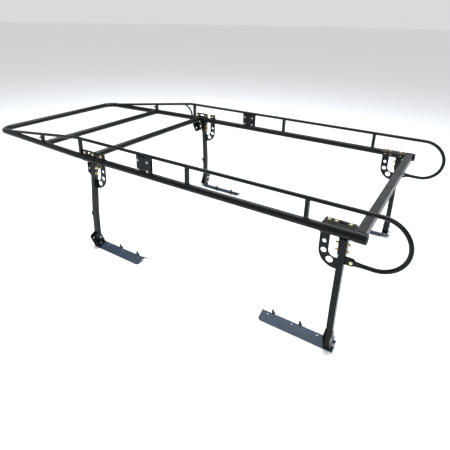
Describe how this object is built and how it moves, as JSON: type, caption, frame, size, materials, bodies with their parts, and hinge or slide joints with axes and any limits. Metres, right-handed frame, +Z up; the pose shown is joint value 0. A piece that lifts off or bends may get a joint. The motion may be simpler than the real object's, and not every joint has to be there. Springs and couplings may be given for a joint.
{
  "type": "ladder rack",
  "caption": "Over-cab pickup ladder rack: twin tube rails with guard loops, bolted legs and gussets, tilting foot plates and a removable rear crossbar.",
  "frame": {"origin": "on the ground under the middle of the rack's box", "axes": "+X towards the tailgate end, +Y to the truck's right, +Z up"},
  "size_m": [3.7386, 1.7362, 0.9427],
  "materials": {
    "coat": "gloss",
    "foot_coat": "gloss",
    "worn_coat": "satin",
    "zinc": "satin",
    "bare_steel": "satin",
    "cap": "matte"
  },
  "bodies": {
    "rack": {"front_hoop": "coat", "rail_front_left": "coat", "rail_front_right": "coat", "rail_rear_left": "coat", "rail_rear_right": "coat", "hoop_splices": "bare_steel", "rail_splices": "bare_steel", "upper_splices": "bare_steel", "upper_front_left": "coat", "upper_front_right": "coat", "upper_rear_left": "coat", "upper_rear_right": "coat", "posts_left": "coat", "posts_right": "coat", "splice_plates_left": "coat", "splice_plates_right": "coat", "splice_bolts": "bare_steel", "crossbar_front": "coat", "crossbar_mid": "coat", "rail_clamp_front_left": "coat", "rail_clamp_front_right": "coat", "rail_clamp_rear_left": "coat", "rail_clamp_rear_right": "coat", "corner_gusset_front_left": "coat", "corner_gusset_front_right": "coat", "corner_gusset_rear_left": "coat", "corner_gusset_rear_right": "coat", "cross_gussets": "coat", "clamp_bolts": "zinc", "leg_front_left": "coat", "leg_front_right": "coat", "leg_rear_left": "coat", "leg_rear_right": "coat", "leg_bolts": "zinc", "loop_tabs": "coat", "loop_bolts": "zinc", "tie_hooks": "coat", "front_hooks": "coat", "curved_strap": "coat", "foot_bolts": "bare_steel"},
    "rear_bar": {"rear_crossbar": "worn_coat", "rear_bar_sleeves": "coat"},
    "foot_front_left": {"foot_front_left": "foot_coat", "foot_ears_front_left": "coat", "foot_studs_front_left": "coat", "foot_caps_front_left": "cap"},
    "foot_front_right": {"foot_front_right": "foot_coat", "foot_ears_front_right": "coat", "foot_studs_front_right": "coat", "foot_caps_front_right": "cap"},
    "foot_rear_left": {"foot_rear_left": "foot_coat", "foot_ears_rear_left": "coat", "foot_studs_rear_left": "coat", "foot_caps_rear_left": "cap"},
    "foot_rear_right": {"foot_rear_right": "foot_coat", "foot_ears_rear_right": "coat", "foot_studs_rear_right": "coat", "foot_caps_rear_right": "cap"}
  },
  "joints": [
    {"name": "rear_bar_slide", "type": "slide", "parent": "rack", "child": "rear_bar", "axis": [1, 0, 0], "range_m": [0, 0.12]},
    {"name": "foot_front_left_tilt", "type": "hinge", "parent": "rack", "child": "foot_front_left", "pos_m": [-0.455, -0.803, 0.04203], "axis": [1, 0, 0], "range_deg": [-22, 0]},
    {"name": "foot_front_right_tilt", "type": "hinge", "parent": "rack", "child": "foot_front_right", "pos_m": [-0.455, 0.803, 0.04203], "axis": [-1, 0, 0], "range_deg": [-22, 0]},
    {"name": "foot_rear_left_tilt", "type": "hinge", "parent": "rack", "child": "foot_rear_left", "pos_m": [1.53, -0.803, 0.04203], "axis": [1, 0, 0], "range_deg": [-22, 0]},
    {"name": "foot_rear_right_tilt", "type": "hinge", "parent": "rack", "child": "foot_rear_right", "pos_m": [1.53, 0.803, 0.04203], "axis": [-1, 0, 0], "range_deg": [-22, 0]}
  ]
}
